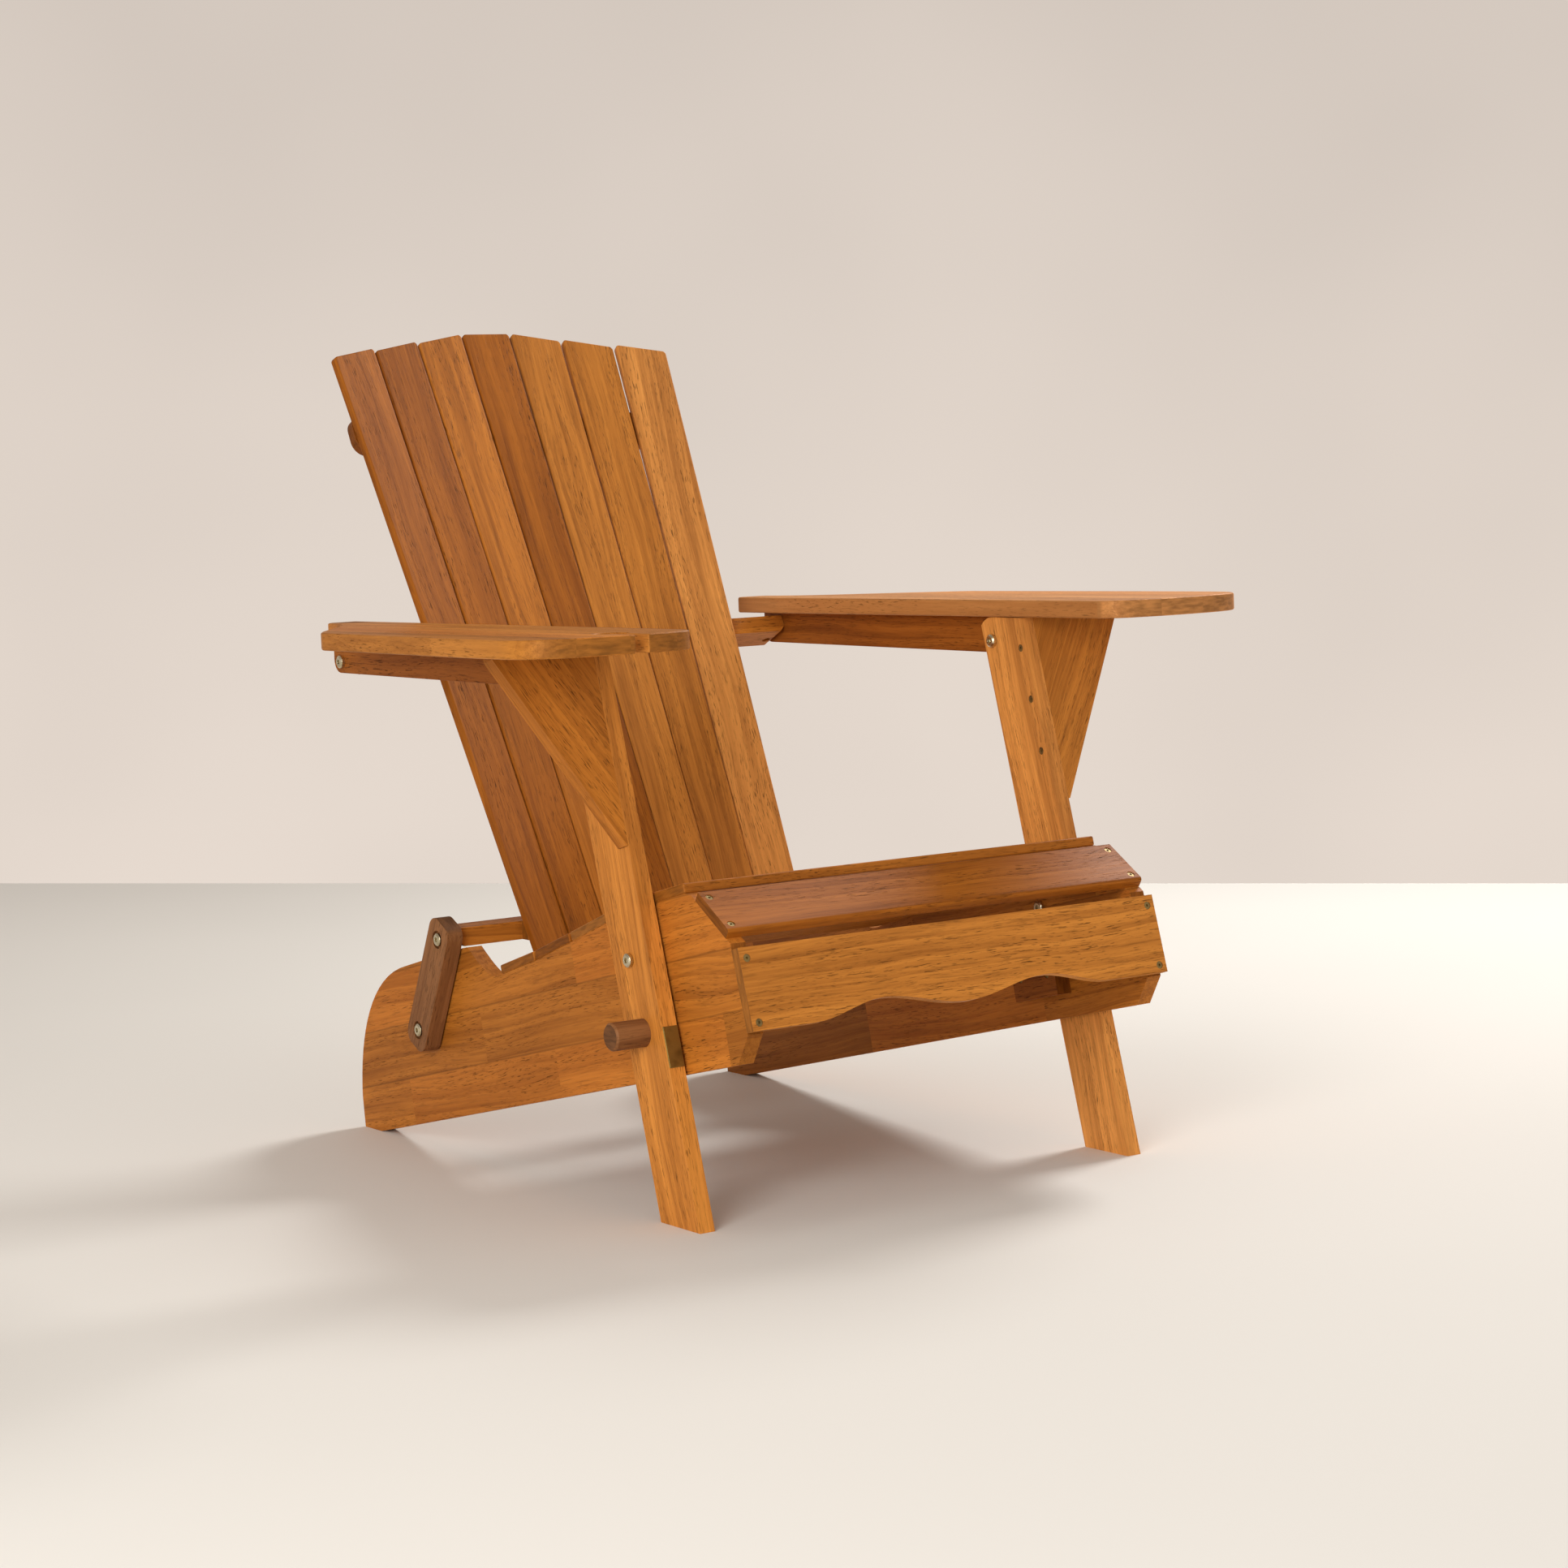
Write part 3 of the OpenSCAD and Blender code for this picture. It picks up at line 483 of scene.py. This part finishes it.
def leaning(up, degrees):
    """The direction up, leaned towards +X."""
    angle = math.radians(degrees)
    return up * math.cos(angle) + X * math.sin(angle)


def soften(piece, width):
    """Rounded arrises: weld the split corners, drop the flat triangulation, bevel, even normals."""
    weld = piece.modifiers.new("weld", "WELD")
    weld.merge_threshold = WELD_GAP
    flat = piece.modifiers.new("flat", "DECIMATE")
    flat.decimate_type = "DISSOLVE"
    flat.angle_limit = math.radians(FLAT_ANGLE)
    bevel = piece.modifiers.new("bevel", "BEVEL")
    bevel.width = width
    bevel.segments = BEVEL_SEGMENTS
    bevel.limit_method = "ANGLE"
    bevel.angle_limit = math.radians(BEVEL_ANGLE)
    bevel.use_clamp_overlap = True
    bevel.harden_normals = False
    smooth = piece.modifiers.new("normals", "WEIGHTED_NORMAL")
    smooth.keep_sharp = False
    smooth.weight = NORMAL_WEIGHT
    for polygon in piece.data.polygons:
        polygon.use_smooth = True


def dress(name, material, edge=0.0):
    piece = nodes[name]
    piece.data.materials.clear()
    piece.data.materials.append(material)
    if edge:
        soften(piece, edge)


def dress_side(side, seed, leg_tone, arm_tone, gusset_tone):
    """The boards of one side of the chair. Each adds its own step to the side's seed."""
    fall = tilted(STRINGER_FALL)
    stringer = wood("stringer " + side, ORANGE, fall, tilted(STRINGER_FALL + 90), seed + 0.13,
                    STRINGER_STAVE)
    dress("stringer_" + side, stringer, BOARD_EDGE)
    dress("guide_block_" + side, wood("block " + side, REDDISH, fall, Z, seed + 0.4), BLOCK_EDGE)

    rise = tilted(LEG_RISE)
    dress("leg_" + side, wood("leg " + side, leg_tone, rise, Y, seed + 0.71), BOARD_EDGE)
    splay = leaning(rise, GUSSET_SPLAY if side == "left" else -GUSSET_SPLAY)
    gusset = wood("gusset " + side, gusset_tone, splay, X, seed + 0.23)
    dress("gusset_" + side, gusset, GUSSET_EDGE)

    dress("arm_board_" + side, wood("arm " + side, arm_tone, Y, X, seed + 0.57, ARM_STAVE), ARM_EDGE)
    dress("arm_rail_" + side, wood("rail " + side, REDDISH, Y, Z, seed + 0.91), SLAT_EDGE)
    link = wood("link " + side, WALNUT, tilted(LINK_FALL), Y, seed + 0.33)
    dress("link_" + side, link, SLAT_EDGE)
    dress("peg_" + side, wood("peg " + side, WALNUT, X, Y, seed + 0.67))


def dress_seat():
    fall = tilted(SEAT_FALL)
    for i, tone in enumerate(SEAT_TONES, 1):
        dress(f"seat_slat_{i}", wood(f"seat {i}", tone, X, fall, 3.1 + 0.37 * i), SLAT_EDGE)
    dress("front_slat", wood("nosing", BROWN, X, tilted(NOSE_RISE), 5.9), SLAT_EDGE)
    dress("front_apron", wood("apron", HONEY, X, tilted(APRON_RISE), 6.3), BOARD_EDGE)


def dress_back():
    rise = tilted(BACK_RISE)
    for i, tone in enumerate(BACK_TONES, 1):
        fibres = leaning(rise, BACK_FAN * (i - MIDDLE_SLAT) / SLATS_TO_EDGE)
        dress(f"back_slat_{i}", wood(f"back {i}", tone, fibres, X, 7.3 + 0.61 * i), BOARD_EDGE)
    dress("upper_batten", wood("batten", REDDISH, X, rise, 9.1), SLAT_EDGE)
    dress("middle_crosspiece", wood("crosspiece", ORANGE, X, rise, 9.7), SLAT_EDGE)
    dress("lower_crossbar", wood("crossbar", ORANGE, X, Z, 10.3), SLAT_EDGE)


def dress_hardware():
    """Bolts and nuts in yellow zinc, screws in dark brass, and brushed wear plates."""
    zinc = metal("yellow zinc", ZINC, ZINC_DULL, rough=0.26, wear_scale=90.0)
    brass = metal("screw brass", BRASS, BRASS_DULL, rough=0.50, wear_scale=120.0)
    plate = metal("plate brass", PLATE, PLATE_DULL, rough=0.42, wear_scale=60.0, brushed=True)
    for name in ("leg_pivot_bolts", "link_lower_bolts", "link_upper_bolts",
                 "arm_bolts_left", "arm_bolts_right", "barrel_nuts"):
        dress(name, zinc, METAL_EDGE)
    for name in ("board_screw_set", "block_screw_set", "gusset_screws_left", "gusset_screws_right"):
        dress(name, brass)
    for name in ("wear_plate_left", "wear_plate_right"):
        dress(name, plate, METAL_EDGE)


# --- surroundings ---------------------------------------------------------------------------


def floor():
    """Floor that ends at the seam with the pale background."""
    forward = SEAM_RUN.cross(Z) * FLOOR_DEPTH
    left_end = SEAM_MIDDLE - SEAM_RUN * FLOOR_REACH
    right_end = SEAM_MIDDLE + SEAM_RUN * FLOOR_REACH
    corners = [left_end, right_end, right_end + forward, left_end + forward]
    mesh = bpy.data.meshes.new("floor")
    mesh.from_pydata([tuple(c) for c in corners], [], [(0, 1, 2, 3)])
    o = bpy.data.objects.new("floor", mesh)
    bpy.context.scene.collection.objects.link(o)
    o.data.materials.append(floor_paint())


def world_light():
    """Pale wall all round, dimmer overhead."""
    world = bpy.data.worlds.new("studio")
    bpy.context.scene.world = world
    world.use_nodes = True
    net = Net(world.node_tree)
    back = world.node_tree.nodes["Background"]
    back.inputs["Color"].default_value = shade(WALL_COLOUR, 1.0)
    where = net.add("ShaderNodeTexCoord").outputs["Generated"]
    fall = net.spread(net.dot(where, Z), CEILING_RANGE, 1.0, CEILING)
    noise = net.noise(where, scale=WALL_CLOUD_SCALE, detail=LOW_DETAIL)
    cloud = net.spread(noise, CONTRAST_RANGE, *WALL_CLOUD_LEVELS)
    net.join(net.times(fall, cloud), back.inputs["Strength"])


def area_light(name, place, aim_height, size, power, colour):
    """Round soft light, aimed at the middle of the chair at a height over the floor."""
    data = bpy.data.lights.new(name, "AREA")
    data.shape = "DISK"
    data.size = size
    data.energy = power
    data.color = colour
    o = bpy.data.objects.new(name, data)
    o.location = place
    aim = Vector((0, 0, aim_height)) - Vector(place)
    o.rotation_euler = aim.to_track_quat("-Z", "Y").to_euler()
    bpy.context.scene.collection.objects.link(o)


def camera():
    data = bpy.data.cameras.new("camera")
    data.sensor_width = SENSOR
    data.lens = LENS
    data.clip_end = CLIP_END
    o = bpy.data.objects.new("camera", data)
    back = -CAMERA_AHEAD.normalized()
    right = (CAMERA_RIGHT - back * CAMERA_RIGHT.dot(back)).normalized()
    up = back.cross(right)
    turn = Matrix((right, up, back)).transposed().to_4x4()
    o.matrix_world = Matrix.Translation(CAMERA_AT) @ turn
    bpy.context.scene.collection.objects.link(o)
    bpy.context.scene.camera = o


# --- the scene ------------------------------------------------------------------------------

# the left leg, arm and gusset get paler tones than the right side: painted light for the stronger
# light on that side
dress_side("left", 1.0, PAINTED_LIGHT_LEG, PAINTED_LIGHT_ARM, HONEY)
dress_side("right", 2.0, GOLDEN, HONEY, ORANGE)
dress_seat()
dress_back()
dress_hardware()

floor()
world_light()
area_light("key", KEY_AT, aim_height=0.3, size=1.1, power=84.0, colour=KEY_COLOUR)
area_light("fill", FILL_AT, aim_height=0.45, size=2.2, power=94.0, colour=FILL_COLOUR)
area_light("top", TOP_AT, aim_height=0.4, size=2.4, power=8.0, colour=FILL_COLOUR)
camera()
bpy.context.scene.view_settings.view_transform = "Standard"
